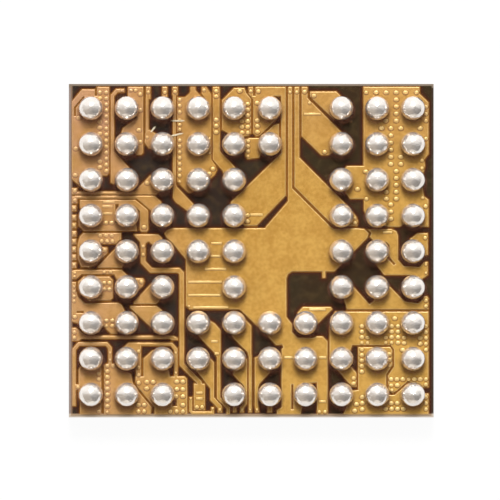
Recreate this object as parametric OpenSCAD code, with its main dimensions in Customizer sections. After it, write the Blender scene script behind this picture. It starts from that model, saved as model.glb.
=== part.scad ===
// Wafer-level power management chip, lying on its back with the solder balls up.
// The origin is the centre of the back face. Columns run along +X, rows run along -Y.
// Copper outlines are drawn in ball-grid steps: [column, row], where [1, 1] is the first ball.

/* [Ball grid] */
// Distance between neighbouring balls
pitch = 0.4; // [0.38:0.01:0.5]
// Diameter of a solder ball at its widest
ball_d = 0.27; // [0.235:0.005:0.285]
// Diameter of the bump metal that a ball sits on
bump_d = 0.2; // [0.18:0.005:0.22]
// Thickness of the bump metal above the top film
bump_rim_t = 0.006; // [0.004:0.001:0.012]
// Diameter of the opening in the top film under a ball
opening_d = 0.17; // [0.12:0.005:0.18]

/* [Die] */
// From the first column of balls to the left die edge
margin_left = 0.246; // [0.236:0.002:0.3]
// From the last column of balls to the right die edge
margin_right = 0.23; // [0.22:0.002:0.3]
// From the first row of balls to the top die edge
margin_top = 0.27; // [0.262:0.002:0.32]
// From the last row of balls to the bottom die edge
margin_bottom = 0.256; // [0.25:0.002:0.3]
// Thickness of the silicon
die_t = 0.33; // [0.15:0.01:0.5]
// Thickness of the coating on the back of the die
back_coat_t = 0.025; // [0.01:0.005:0.06]
// Width of the bare saw street round the films
street_w = 0.022; // [0.01:0.002:0.03]

/* [Films] */
// Thickness of the polyimide under the copper
lower_film_t = 0.008; // [0.005:0.001:0.015]
// Thickness of the polyimide over the copper
cover_t = 0.01; // [0.005:0.001:0.02]
// Corner radius of both films
film_corner_r = 0.03; // [0.01:0.005:0.06]

/* [Copper] */
// Thickness of the redistribution copper
copper_t = 0.008; // [0.004:0.001:0.015]
// Diameter of the copper pad under a ball
pad_d = 0.21; // [0.2:0.002:0.218]
// Gap from the copper to the left, top and bottom die edges
copper_edge = 0.034; // [0.03:0.002:0.04]
// Gap from the copper to the right die edge
copper_edge_right = 0.058; // [0.044:0.002:0.066]
// Width of a signal track
signal_w = 0.036; // [0.03:0.001:0.038]
// Width of a fine track between two neighbours
fine_w = 0.03; // [0.024:0.001:0.034]
// Width of the long track round the dark fields
long_w = 0.05; // [0.04:0.001:0.054]
// Diameter of a round via
via_d = 0.034; // [0.024:0.002:0.038]
// Width of a bar-shaped via
bar_w = 0.028; // [0.016:0.001:0.03]
// Length of an edge pad, in from the copper's left limit
edge_pad_l = 0.048; // [0.04:0.002:0.052]
// Width of an edge pad, along the die edge
edge_pad_w = 0.06; // [0.044:0.002:0.066]

/* [Hidden] */
$fn = 48;
columns = 10;
rows = 9;
body_w = margin_left + (columns - 1) * pitch + margin_right;
body_l = margin_top + (rows - 1) * pitch + margin_bottom;

// Heights of the layers, from the back of the chip
die_z = back_coat_t;
lower_z = die_z + die_t;
copper_z = lower_z + lower_film_t;
cover_z = copper_z + copper_t;
face_z = cover_z + cover_t;
bump_z = face_z + bump_rim_t;

// Outer limits of the copper, in grid steps
west = 1 - (margin_left - copper_edge) / pitch;
east = columns + (margin_right - copper_edge_right) / pitch;
north = 1 - (margin_top - copper_edge) / pitch;
south = rows + (margin_bottom - copper_edge) / pitch;

// Place of a grid point on the die, and of a list of them
function spot(p) = [
    margin_left + (p[0] - 1) * pitch - body_w / 2,
    body_l / 2 - margin_top - (p[1] - 1) * pitch
];
function spots(list) = [for (p = list) spot(p)];

// Evenly spaced via places down a column or along a row
function column(c, first, last, count) =
    [for (i = [0 : count - 1]) [c, first + (last - first) * i / (count - 1)]];
function row(r, first, last, count) =
    [for (i = [0 : count - 1]) [first + (last - first) * i / (count - 1), r]];

// Corners of a rectangle from two opposite grid points
function box(a, b) = [a, [b[0], a[1]], b, [a[0], b[1]]];

// Both sides of a track with mitred bends
function along(p, i) = (p[i + 1] - p[i]) / norm(p[i + 1] - p[i]);
function side(d) = [-d[1], d[0]];
function into(p, i) = along(p, max(i - 1, 0));
function out_of(p, i) = along(p, min(i, len(p) - 2));
function bisector(p, i) = side(into(p, i) + out_of(p, i));
function mitre(p, i) = bisector(p, i) / (bisector(p, i) * side(into(p, i)));
function track_sides(p, w) = concat(
    [for (i = [0 : len(p) - 1]) p[i] + mitre(p, i) * w / 2],
    [for (i = [len(p) - 1 : -1 : 0]) p[i] - mitre(p, i) * w / 2]
);

// One copper net: its balls, outlines, tracks with their widths, cut-outs, round and bar vias
function net(balls = [], plates = [], tracks = [], cuts = [], vias = [], bars = []) =
    [balls, plates, tracks, cuts, vias, bars];
function net_balls(n) = n[0];
function net_plates(n) = n[1];
function net_tracks(n) = n[2];
function net_cuts(n) = n[3];
function net_vias(n) = n[4];
function net_bars(n) = n[5];

// Supply plate down the left edge
SUPPLY_A1 = net(
    balls = [[1, 1], [1, 2], [1, 3]],
    plates = [[
        [west, 0.82], [0.75, 0.48], [1.11, 0.48], [1.11, 0.66], [1.17, 0.66], [1.17, north],
        [1.51, north], [1.51, 2.8], [1.44, 2.88], [1.28, 2.88], [0.98, 3.2], [0.72, 3.2], [west, 2.98]
    ]],
    cuts = [[[0.53, 1.22], [0.53, 0.98], [0.79, 0.67], [0.83, 0.7], [0.58, 1], [0.58, 1.22]]],
    vias = concat(
        column(1.43, 0.57, 2.76, 14), column(1.25, 0.57, 0.735, 2), column(1.25, 1.39, 1.72, 3),
        column(1.25, 2.5, 2.66, 2), [[0.66, 1.28], [0.58, 2.14], [0.56, 2.88]]
    )
);
module supply_a1() { copper_net(SUPPLY_A1); }

// Hooked track that runs between the first two columns
TRACK_C2 = net(
    balls = [[2, 3]],
    plates = [[
        [1.55, 2.3], [1.66, 2.22], [2.06, 2.66], [2, 3], [1.72, 3], [1.64, 3.12], [1.56, 3.08]
    ]],
    tracks = [[[[1.93, 0.51], [1.73, 0.51], [1.6, 0.65], [1.6, 2.32]], signal_w]],
    vias = [[1.86, 0.51]]
);
module track_c2() { copper_net(TRACK_C2); }

// Plate on the right of balls A2 and B2
PLATE_A2 = net(
    balls = [[2, 1], [2, 2]],
    plates = [[
        [2.04, north], [2.46, north], [2.46, 2.24], [2.4, 2.3], [2.28, 2.3], [1.84, 1.74],
        [1.9, 1.56], [2.28, 1.28], [2.2, 1], [2.04, 0.72]
    ]],
    vias = [[2.12, 0.51], [2.25, 0.51], [2.38, 0.62], [2.38, 1.06], [2.34, 1.62], [2.38, 1.95]]
);
module plate_a2() { copper_net(PLATE_A2); }

// Narrow track from the top edge to ball B3
TRACK_B3 = net(
    balls = [[3, 2]],
    plates = [
        box([2.54, north], [2.66, 0.74]),
        [
            [2.52, 1.7], [2.62, 1.6], [2.82, 1.72], [3, 1.9], [3, 2.1], [2.78, 2.14],
            [2.62, 2.12], [2.5, 1.96]
        ]
    ],
    tracks = [[[[2.57, 0.7], [2.57, 1.75]], fine_w]],
    vias = [[2.6, 0.56], [2.57, 1.82]]
);
module track_b3() { copper_net(TRACK_B3); }

// Short stub from the top edge to ball A3
STUB_A3 = net(
    balls = [[3, 1]],
    plates = [box([3, north], [3.13, 0.85])],
    vias = [[3.065, 0.57]]
);
module stub_a3() { copper_net(STUB_A3); }

// Plate with a via column under balls A4, B4 and C4
PLATE_A4 = net(
    balls = [[4, 1], [4, 2], [4, 3]],
    plates = [
        [
            [3.41, 0.7], [3.64, 0.7], [3.78, 0.56], [3.78, north], [3.92, north], [3.92, 0.5],
            [4.24, 0.86], [4.365, 0.96], [4.365, 2.44], [4.48, 2.6], [4.52, 2.72], [4.46, 2.86],
            [4.28, 3.02], [4, 3.26], [3.78, 3.36], [3.72, 3.36], [3.41, 3.06]
        ],
        [[4.1, north], [4.22, north], [4.36, 0.62], [4.36, 1.02], [4.28, 0.84], [4.1, 0.6]]
    ],
    cuts = [box([3.38, 1.66], [3.56, 1.73])],
    vias = concat(
        column(3.48, 0.77, 1.12, 3), column(3.48, 1.34, 1.6, 3), column(3.48, 1.91, 3.06, 8),
        column(4.32, 1.85, 2.26, 3), [[4.16, 0.5], [4.41, 2.7], [4.3, 2.84]]
    )
);
module plate_a4() { copper_net(PLATE_A4); }

// Fine track from a top pad past three balls to ball D4
TRACK_D4 = net(
    balls = [[4, 4]],
    plates = [
        box([3.28, north], [3.42, 0.64]),
        [
            [3.295, 3.1], [3.37, 3.1], [3.4, 3.2], [3.86, 3.68], [4, 3.85], [3.9, 4],
            [3.74, 3.9], [3.37, 3.62], [3.295, 3.5]
        ]
    ],
    tracks = [[[[3.333, 0.6], [3.333, 3.15]], fine_w]],
    vias = [[3.35, 0.55]]
);
module track_d4() { copper_net(TRACK_D4); }

// Wide track from the top edge to ball C5
TRACK_C5 = net(
    balls = [[5, 3]],
    plates = [[
        [4.41, north], [4.59, north], [4.6, 2.2], [4.94, 2.56], [5.1, 2.75], [5, 3],
        [4.76, 2.96], [4.68, 2.74], [4.41, 2.44]
    ]],
    vias = concat(column(4.5, 0.53, 0.68, 2), column(4.5, 1.33, 1.68, 3))
);
module track_c5() { copper_net(TRACK_C5); }

// Plate under balls A5 and B5
PLATE_A5 = net(
    balls = [[5, 1], [5, 2]],
    plates = [[
        [4.67, 0.78], [5, 0.44], [5.29, 0.44], [5.34, 0.58], [5.47, 0.74], [5.47, 1.7],
        [5.4, 1.77], [5.24, 1.8], [5.1, 2], [4.86, 1.9], [4.84, 1.7], [4.67, 1.6]
    ]],
    vias = concat(column(5.38, 0.89, 1.69, 6), column(5.22, 1.37, 1.69, 3), [[5.16, 0.53]])
);
module plate_a5() { copper_net(PLATE_A5); }

// Left wing: ball A6, a track down the middle and the field over ball D5
WING_A6 = net(
    balls = [[6, 1], [5, 4]],
    plates = [[
        [5.6, north], [6.44, north], [6.44, 3.44], [5.63, 4.28], [5.3, 4.28], [5, 4.1], [4.86, 4],
        [4.92, 3.62], [6.32, 2.26], [6.32, 0.66], [6.1, 0.66], [6, 1], [6.2, 1.28], [5.73, 1.75],
        [5.63, 1.78], [5.54, 1.7], [5.54, 0.76], [5.41, 0.6], [5.41, north], [5.53, north],
        [5.53, 0.66], [5.6, 0.66]
    ]],
    vias = concat(
        [[5.47, 0.53], [5.68, 0.54], [5.64, 0.86]], column(5.65, 1.35, 1.67, 3), column(5.37, 4, 4.17, 2)
    ),
    bars = [[[5.45, 3.98], [5.8, 3.98]]]
);
module wing_a6() { copper_net(WING_A6); }

// Plate under ball B6
PLATE_B6 = net(
    balls = [[6, 2]],
    plates = [[
        [5.32, 1.87], [5.44, 1.84], [5.72, 1.84], [6.12, 1.47], [6.25, 1.44], [6.25, 1.85],
        [6.1, 2.1], [5.8, 2.15], [5.7, 2.38], [5.38, 2.42], [5.32, 2.34]
    ]],
    vias = column(5.39, 1.93, 2.35, 4)
);
module plate_b6() { copper_net(PLATE_B6); }

// Centre plane: a stem from the top edge, the wide field and the feet at the bottom edge
CENTRE_PLANE = net(
    balls = [[4, 5], [5, 5], [5, 6], [8, 5], [6, 7], [7, 8], [7, 9]],
    plates = [
        [
            [6.51, north], [6.62, north], [6.62, 3.24], [7.7, 4.32], [7.8, 4.38], [8.4, 4.36],
            [8.64, 4.38], [8.76, 4.5], [8.72, 4.62], [7.8, 5.56], [6.62, 5.56], [6.5, 5.64],
            [6.46, 5.76], [6.46, 6.84], [6.62, 7.04], [6.62, 7.26], [6.78, 7.42], [7.22, 7.42],
            [7.3, 7.38], [7.48, 7.38], [7.61, 7.52], [7.61, south], [7.32, south], [7.32, 8.66],
            [6.6, 8.72], [6.6, south], [6.2, south], [6.2, 9.44], [6.33, 9.36], [6.33, 7.74],
            [6.38, 7.68], [6.34, 7.6], [6.18, 7.62], [6.06, 7.5], [5.8, 7.2], [5.62, 7.06],
            [5.16, 6.62], [3.76, 6.62], [3.66, 6.52], [3.66, 5.22], [3.28, 4.78], [3.12, 4.62],
            [3.06, 4.5], [3.14, 4.4], [3.3, 4.36], [5.87, 4.36], [5.9, 4.3], [6.51, 3.6]
        ],
        [
            [6.66, 8.58], [7.14, 8.58], [7.1, 9], [6.9, 9.3], [6.86, south], [6.4, south],
            [6.4, 9.42], [6.66, 9.42]
        ]
    ],
    tracks = [[[[7.51, 5.5], [7.51, 5.74]], fine_w]],
    vias = concat(row(9.49, 7.38, 7.54, 2), [[6.565, 0.56], [3.74, 6.54]]),
    bars = [
        [[4.36, 4.78], [4.66, 4.78]], [[4.34, 5.14], [4.62, 5.14]], [[4.18, 5.5], [4.78, 5.5]],
        [[3.72, 5.86], [4.66, 5.86]], [[3.72, 6.23], [4.62, 6.23]], [[3.86, 6.57], [4.84, 6.57]],
        [[6.4, 7.97], [6.64, 7.97]], [[7.37, 7.97], [7.57, 7.97]], [[7.37, 9.2], [7.57, 9.2]]
    ]
);
module centre_plane() { copper_net(CENTRE_PLANE); }

// Right wing: a track beside the stem and the field over ball D8
WING_D8 = net(
    balls = [[8, 4]],
    plates = [[
        [6.69, north], [6.82, north], [6.82, 2.38], [8.06, 3.62], [8.42, 4.04], [8.46, 4.16],
        [8.44, 4.28], [7.86, 4.3], [7.74, 4.25], [6.69, 3.2]
    ]],
    vias = concat([[6.755, 0.56]], column(8.38, 4.08, 4.21, 2))
);
module wing_d8() { copper_net(WING_D8); }

// Diagonal plate to ball B8
PLATE_B8 = net(
    balls = [[8, 2]],
    plates = [[
        [6.89, north], [7.05, north], [7.05, 0.72], [8.08, 1.75], [8.1, 2], [7.84, 2.2],
        [7.62, 2.31], [7.44, 2.31], [6.89, 1.78]
    ]],
    vias = [[6.97, 0.55], [7.11, 0.86], [7.53, 2.23]],
    bars = [[[6.95, 1.17], [7.42, 1.17]]]
);
module plate_b8() { copper_net(PLATE_B8); }

// Plate to ball A8
PLATE_A8 = net(
    balls = [[8, 1]],
    plates = [[[7.13, 0.54], [7.86, 0.54], [8.1, 0.8], [8, 1], [7.8, 1.32], [7.13, 0.68]]],
    vias = [[7.23, 0.66]]
);
module plate_a8() { copper_net(PLATE_A8); }

// Power block in the top right corner
BLOCK_A9 = net(
    balls = [[9, 1], [10, 1], [9, 2], [10, 2], [8, 3], [9, 3], [10, 3], [9, 4], [10, 4]],
    plates = [[
        [8.62, north], [10.18, north], [10.18, 0.6], [east, 0.84], [east, 2.28], [10.31, 2.44],
        [10.33, 2.6], [10.3, 2.74], [10.24, 3], [10.3, 3.46], [east, 3.56], [east, 4.31],
        [10.2, 4.31], [9.9, 4.15], [9.62, 4.31], [9.3, 4.31], [9, 4.2], [8.72, 4.05],
        [8.63, 3.85], [8.63, 3.53], [8.24, 3.53], [8, 3.2], [8, 2.8], [8.16, 2.62], [8.62, 2.62]
    ]],
    vias = concat(
        row(0.57, 8.69, 9.25, 3), column(9.53, 0.57, 1.36, 5), row(0.57, 9.79, 10.1, 2),
        column(10.36, 0.97, 1.36, 3), [[9.24, 1.36], [9.12, 1.57], [9.66, 1.57], [10.2, 1.57]],
        column(9.38, 1.57, 2.57, 6), column(9.66, 2.37, 2.57, 2), [[10.36, 1.86]],
        column(10.25, 2.47, 2.68, 2), column(9.53, 2.77, 3.54, 5), [[8.68, 2.78]],
        column(9.25, 3.35, 3.54, 2), column(9.38, 3.7, 4.1, 3), [[8.45, 3.27], [8.7, 3.54]],
        [[10.27, 3.51], [10.35, 3.75]]
    )
);
module block_a9() { copper_net(BLOCK_A9); }

// Hooked track round ball E9 to ball F10
TRACK_E9 = net(
    balls = [[9, 5], [10, 6]],
    plates = [[
        [8.74, 4.39], [9.4, 4.38], [9.53, 4.44], [9.58, 4.56], [9.58, 5.24],
        [9.74, 5.42], [10.18, 5.44], [10.32, 5.3], [10.41, 5.3], [10.41, 5.66], [10.3, 5.74],
        [10.1, 5.9], [9.96, 5.66], [9.2, 5.66], [8.98, 5.38], [9, 5.1], [9.22, 5.13],
        [9.46, 5.39], [9.51, 5.35], [9.34, 5.15], [9.34, 4.84], [9.26, 4.74], [9, 4.8],
        [8.86, 4.66], [8.8, 4.6], [8.84, 4.49]
    ]],
    vias = column(10.36, 5.38, 5.61, 2),
    bars = [[[9.16, 4.47], [9.42, 4.47]]]
);
module track_e9() { copper_net(TRACK_E9); }

// Pad beside ball E10
PAD_E10 = net(
    balls = [[10, 5]],
    plates = [[[9.92, 4.66], [10.12, 4.5], [10.41, 4.5], [10.41, 5.1], [10.2, 5.14], [10, 5]]],
    vias = [[10.34, 4.63]]
);
module pad_e10() { copper_net(PAD_E10); }

// Band under balls F8 and F9 with a tail to the right edge
BAND_F8 = net(
    balls = [[8, 6], [9, 6]],
    plates = [[
        [8, 5.95], [8.24, 5.93], [8.34, 6], [8.78, 6.48], [8.9, 6.4], [9, 5.95], [9.26, 5.93],
        [9.36, 6], [9.76, 6.4], [10.14, 6.46], [10.26, 6.36], [10.32, 6.26], [10.4, 6.26],
        [east, 6.32], [east, 6.62], [8.16, 6.62], [8.06, 6.3]
    ]],
    vias = column(10.36, 6.38, 6.54, 2)
);
module band_f8() { copper_net(BAND_F8); }

// Power block on the right side
BLOCK_G8 = net(
    balls = [[8, 7], [9, 7], [10, 7], [8, 8], [10, 8]],
    plates = [[
        [7.82, 6.69], [east, 6.69], [east, 8.8], [10.3, 8.8], [10.16, 8.68], [9.84, 8.64],
        [9.54, 8.9], [9.42, 8.96], [9.32, 8.9], [9.3, 8.47], [9.47, 8.22], [9.47, 7.74],
        [9.38, 7.62], [8.3, 7.62], [8.2, 7.9], [8.26, 8.22], [8.42, 8.4], [8.42, 8.78],
        [8.29, 8.78], [8.02, 8.46], [7.8, 8.22], [7.67, 8.1], [7.67, 7.14], [7.74, 6.85]
    ]],
    vias = concat(
        column(8.57, 7.1, 7.56, 4), column(8.73, 7.42, 7.56, 2), column(9.24, 7.42, 7.56, 2),
        column(9.4, 7.1, 7.56, 4), column(9.58, 7.1, 7.56, 4), column(9.75, 7.42, 7.57, 2),
        column(10.2, 7.43, 7.59, 2), column(10.36, 7.1, 7.76, 5), [[9.49, 6.88], [9.71, 7.76]],
        row(8.58, 9.39, 10.36, 7), row(8.75, 9.39, 9.56, 2), column(8.34, 8.55, 8.7, 2),
        [[9.41, 8.885], [10.36, 8.73]]
    )
);
module block_g8() { copper_net(BLOCK_G8); }

// Power block in the bottom right corner
BLOCK_H9 = net(
    balls = [[9, 8], [8, 9], [9, 9], [10, 9]],
    plates = [[
        [8.47, 7.68], [9.36, 7.68], [9.42, 7.76], [9.42, 8.18], [9.25, 8.44], [9.25, 8.86],
        [9.34, 9.02], [9.48, 9.02], [9.86, 8.7], [10, 8.75], [10.2, 8.9], [10.3, 8.98],
        [east, 8.98], [east, south], [8.06, south], [8.2, 9.2], [8, 9], [8.26, 8.9], [8.47, 8.88]
    ]],
    vias = concat(
        column(8.57, 7.75, 8.37, 5), column(8.58, 9.08, 9.42, 3), column(9.34, 7.88, 8.2, 3),
        row(9.25, 9.39, 9.56, 2), row(9.41, 9.24, 9.73, 4), column(10.36, 9.08, 9.42, 3),
        [[8.42, 9.28], [8.37, 9.46]]
    )
);
module block_h9() { copper_net(BLOCK_H9); }

// Pad with a bar beside ball G7
PAD_G7 = net(
    balls = [[7, 7]],
    plates = [[[6.92, 6.56], [7.7, 6.56], [7.74, 6.62], [7.3, 7.06], [7, 7.2], [6.8, 6.9], [6.78, 6.72]]],
    bars = [[[7.1, 6.63], [7.56, 6.63]]]
);
module pad_g7() { copper_net(PAD_G7); }

// Upper of two tracks under the third row, to ball C3
TRACK_C3 = net(
    balls = [[3, 3]],
    plates = [
        box([west, 3.24], [0.62, 3.41]),
        [[2.66, 2.88], [2.8, 2.95], [3, 3.1], [2.9, 3.35], [2.82, 3.41], [2.2, 3.41], [2.2, 3.36]]
    ],
    tracks = [[[[0.55, 3.373], [2.25, 3.373]], fine_w]],
    vias = [[0.55, 3.32], [2.57, 3.1]]
);
module track_c3() { copper_net(TRACK_C3); }

// Lower of two tracks under the third row, to ball D3
TRACK_D3 = net(
    balls = [[3, 4]],
    plates = [
        box([west, 3.47], [0.62, 3.66]),
        [
            [2.2, 3.45], [2.78, 3.45], [2.96, 3.62], [3, 3.9], [2.8, 3.95], [2.68, 3.86],
            [2.28, 3.52], [2.2, 3.52]
        ]
    ],
    tracks = [[[[0.55, 3.487], [2.25, 3.487]], fine_w]],
    vias = [[0.55, 3.58]]
);
module track_d3() { copper_net(TRACK_D3); }

// Plate under balls D1 and D2 with a strip to a via pad
PLATE_D1 = net(
    balls = [[1, 4], [2, 4]],
    plates = [
        [
            [0.7, 3.565], [2.14, 3.565], [2.22, 3.8], [2.26, 4.2], [2.28, 4.43], [0.8, 4.43],
            [0.66, 4.28], [0.66, 3.98], [0.74, 3.86], [0.7, 3.75]
        ],
        [
            [2.1, 3.565], [2.24, 3.565], [2.59, 3.85], [2.6, 3.9], [2.6, 4.4], [2.55, 4.45],
            [2.42, 4.45], [2.37, 4.4], [2.37, 3.88], [2.2, 3.72], [2, 3.8]
        ]
    ],
    cuts = [[[1.68, 3.68], [1.78, 3.68], [1.73, 4.2], [1.68, 4.2]]],
    vias = [[1.42, 4.21], [1.58, 4.21], [2.485, 4.33]],
    bars = [[[1.32, 3.75], [1.6, 3.75]], [[1.34, 3.95], [1.6, 3.95]], [[1.34, 3.63], [1.66, 3.63]]]
);
module plate_d1() { copper_net(PLATE_D1); }

// Plate beside ball E1
PLATE_E1 = net(
    balls = [[1, 5]],
    plates = [[
        [0.7, 4.58], [0.79, 4.49], [1.84, 4.49], [1.84, 4.65], [1.7, 4.79], [1.26, 4.79], [1.26, 4.88],
        [1.46, 4.9], [1.46, 5.04], [1.14, 5.38], [0.96, 5.44], [0.74, 5.44], [0.63, 5.2], [0.63, 4.8]
    ]],
    vias = concat(row(4.56, 1.26, 1.58, 3), row(4.72, 1.3, 1.6, 3), [[1.38, 4.98]])
);
module plate_e1() { copper_net(PLATE_E1); }

// Triangle beside ball E2
PLATE_E2 = net(
    balls = [[2, 5]],
    plates = [[[1.68, 4.93], [1.8, 4.95], [2, 5], [1.95, 5.3], [1.86, 5.455], [1.2, 5.455], [1.2, 5.42]]],
    vias = [[2, 5]]
);
module plate_e2() { copper_net(PLATE_E2); }

// Band from the left edge to ball F2
PLATE_F2 = net(
    balls = [[2, 6]],
    plates = [[
        [west, 5.55], [0.6, 5.52], [1.86, 5.52], [2.1, 5.76], [2.46, 5.76], [2.5, 5.84], [2.44, 5.98],
        [2.2, 6.18], [1.9, 6.1], [1.78, 5.9], [1.66, 5.64], [0.74, 5.64], [0.58, 5.77], [west, 5.77]
    ]],
    vias = [[0.55, 5.61], [0.54, 5.71], [1.37, 5.58], [1.55, 5.58], [2.41, 5.86]]
);
module plate_f2() { copper_net(PLATE_F2); }

// Plate beside ball F1
PLATE_F1 = net(
    balls = [[1, 6]],
    plates = [[
        [0.64, 5.86], [0.8, 5.71], [1.52, 5.71], [1.61, 5.8], [1.61, 6.3], [1.54, 6.37],
        [0.92, 6.37], [0.7, 6.2], [0.64, 6.05]
    ]],
    vias = concat(column(1.37, 5.89, 6.07, 2), column(1.52, 5.89, 6.07, 2))
);
module plate_f1() { copper_net(PLATE_F1); }

// Plate under balls G1 and G2 with a strip up the left edge
PLATE_G1 = net(
    balls = [[1, 7], [2, 7]],
    plates = [[
        [west, 5.86], [0.58, 5.86], [0.58, 6.1], [0.64, 6.28], [0.84, 6.46], [1.76, 6.44], [1.86, 6.5],
        [2, 6.8], [2, 7.1], [1.8, 7.2], [1.72, 7.3], [1.56, 7.3], [1.34, 7.08], [1.1, 7.2],
        [0.84, 7.2], [0.66, 7.02], [west, 6.96]
    ]],
    cuts = [box([0.6, 6.67], [0.8, 6.73])],
    vias = concat(
        column(1.43, 6.94, 7.09, 2), column(1.6, 6.94, 7.09, 2), column(0.53, 5.99, 6.4, 4), [[0.55, 6.84]]
    )
);
module plate_g1() { copper_net(PLATE_G1); }

// Triangle beside ball F3
PLATE_F3 = net(
    balls = [[3, 6]],
    plates = [[[2.66, 5.93], [2.8, 5.95], [3, 6.1], [2.9, 6.4], [2.82, 6.465], [2.2, 6.465], [2.2, 6.42]]],
    vias = [[3, 6]]
);
module plate_f3() { copper_net(PLATE_F3); }

// Plate beside ball G3
PLATE_G3 = net(
    balls = [[3, 7]],
    plates = [[[2.1, 6.53], [2.84, 6.53], [3.06, 6.72], [3.1, 7], [2.9, 7.15], [2.68, 7.12], [2.1, 6.58]]],
    vias = [[3, 7]]
);
module plate_g3() { copper_net(PLATE_G3); }

// Long track from ball E3 round the dark fields to a via pad at the bottom
LONG_TRACK_E3 = net(
    balls = [[3, 5]],
    plates = [
        [
            [2.2, 4.53], [2.88, 4.53], [2.98, 4.62], [3, 4.9], [2.8, 4.9], [2.62, 4.72],
            [2.52, 4.78], [2.52, 4.95], [2.4, 4.95], [2.38, 4.74]
        ],
        box([3.88, 8.7], [4.18, 9.44])
    ],
    tracks = [[
        [
            [2.46, 4.9], [2.46, 5.3], [2.68, 5.53], [3.45, 5.53], [3.54, 5.62], [3.54, 8.16],
            [4.03, 8.66], [4.03, 8.8]
        ],
        long_w
    ]],
    vias = concat(row(9.36, 3.96, 4.11, 2), [[2.46, 4.87], [2.46, 5.1]]),
    bars = [[[3.94, 8.96], [4.12, 8.96]], [[3.94, 9.12], [4.12, 9.12]]]
);
module long_track_e3() { copper_net(LONG_TRACK_E3); }

// Track from ball G4 down to the bottom edge
TRACK_G4 = net(
    balls = [[4, 7]],
    plates = [[
        [4, 6.95], [4.3, 6.93], [4.46, 7.02], [4.62, 7.2], [4.62, 7.96], [4.52, 7.96],
        [4.44, 7.82], [4.08, 7.44], [3.9, 7.2]
    ]],
    tracks = [[[[4.57, 7.9], [4.57, 9.1], [4.84, 9.38], [4.84, south]], signal_w]],
    bars = [[[4.36, 7.52], [4.54, 7.52]], [[4.46, 7.86], [4.58, 7.86]]]
);
module track_g4() { copper_net(TRACK_G4); }

// Track from ball H4 down to the bottom edge
TRACK_H4 = net(
    balls = [[4, 8]],
    plates = [[
        [4.1, 7.95], [4.32, 7.98], [4.44, 8.1], [4.44, 9.08], [4.66, 9.32], [4.66, 9.5], [4.55, 9.5],
        [4.55, 9.38], [4.34, 9.16], [4.34, 8.84], [4.08, 8.5], [3.86, 8.24]
    ]],
    vias = [[4.605, 9.43]]
);
module track_h4() { copper_net(TRACK_H4); }

// Track from ball G5 down to the bottom edge
TRACK_G5 = net(
    balls = [[5, 7]],
    plates = [[
        [5.1, 6.82], [5.24, 6.84], [5.48, 7.08], [5.48, 7.98], [5.42, 7.98], [5.38, 7.82],
        [4.98, 7.42], [4.9, 7.2]
    ]],
    tracks = [[[[5.45, 7.9], [5.45, 9.5]], fine_w]],
    vias = [[5.45, 9.43]]
);
module track_g5() { copper_net(TRACK_G5); }

// Track from ball H5 down to the bottom edge
TRACK_H5 = net(
    balls = [[5, 8]],
    plates = [[
        [5.05, 7.95], [5.36, 8.02], [5.36, 9.26], [5.27, 9.38], [5.27, 9.5], [5.17, 9.5],
        [5.17, 9.36], [5.29, 9.2], [5.29, 8.78], [4.98, 8.45]
    ]],
    vias = [[5.22, 9.43]]
);
module track_h5() { copper_net(TRACK_H5); }

// Stub from ball J5 to the bottom edge
STUB_J5 = net(
    balls = [[5, 9]],
    tracks = [[[[5.02, 9], [5.02, 9.5]], signal_w]],
    vias = [[5, 9]]
);
module stub_j5() { copper_net(STUB_J5); }

// Track from ball H6 down to the bottom edge
TRACK_H6 = net(
    balls = [[6, 8]],
    plates = [[
        [5.58, 7.98], [5.72, 7.92], [6, 8], [6, 8.38], [5.72, 8.68], [5.67, 8.8], [5.58, 8.8]
    ]],
    tracks = [[[[5.625, 8.7], [5.625, 9.28], [5.65, 9.5]], signal_w]],
    vias = [[5.642, 9.43]]
);
module track_h6() { copper_net(TRACK_H6); }

// Stub from ball J6 to the bottom edge
STUB_J6 = net(
    balls = [[6, 9]],
    tracks = [[[[6, 9], [6, 9.5]], long_w]],
    vias = [[6, 9]]
);
module stub_j6() { copper_net(STUB_J6); }

// Loop round ball H1 that joins the plates under H1, J1 and J2
LOOP_H1 = net(
    balls = [[1, 8], [1, 9], [2, 9]],
    plates = [
        [
            [0.8, 8.1], [1.2, 8.1], [1.29, 8.2], [1.29, south], [0.7, south], [0.7, 9.2],
            [0.66, 9.1], [0.66, 8.3]
        ],
        box([0.53, 8.72], [0.7, 8.87]),
        [
            [1.37, 8.2], [1.43, 8.14], [1.66, 8.14], [1.74, 8.28], [2.12, 8.42], [2.16, 8.66],
            [2.24, 8.82], [2.7, 9.36], [2.66, south], [1.37, south]
        ]
    ],
    tracks = [[
        [[0.53, 9.32], [0.53, 7.74], [0.66, 7.59], [1.44, 7.59], [1.535, 7.7], [1.535, 8.2]],
        signal_w
    ]],
    vias = concat(
        column(1.535, 7.84, 8.04, 2), column(1.46, 8.36, 9.5, 8), column(1.22, 8.43, 8.58, 2),
        row(8.21, 1.46, 1.62, 2),
        row(9.3, 2.33, 2.49, 2), row(9.48, 2.33, 2.49, 2), [[1.22, 9.48], [0.64, 8.8]]
    )
);
module loop_h1() { copper_net(LOOP_H1); }

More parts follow.
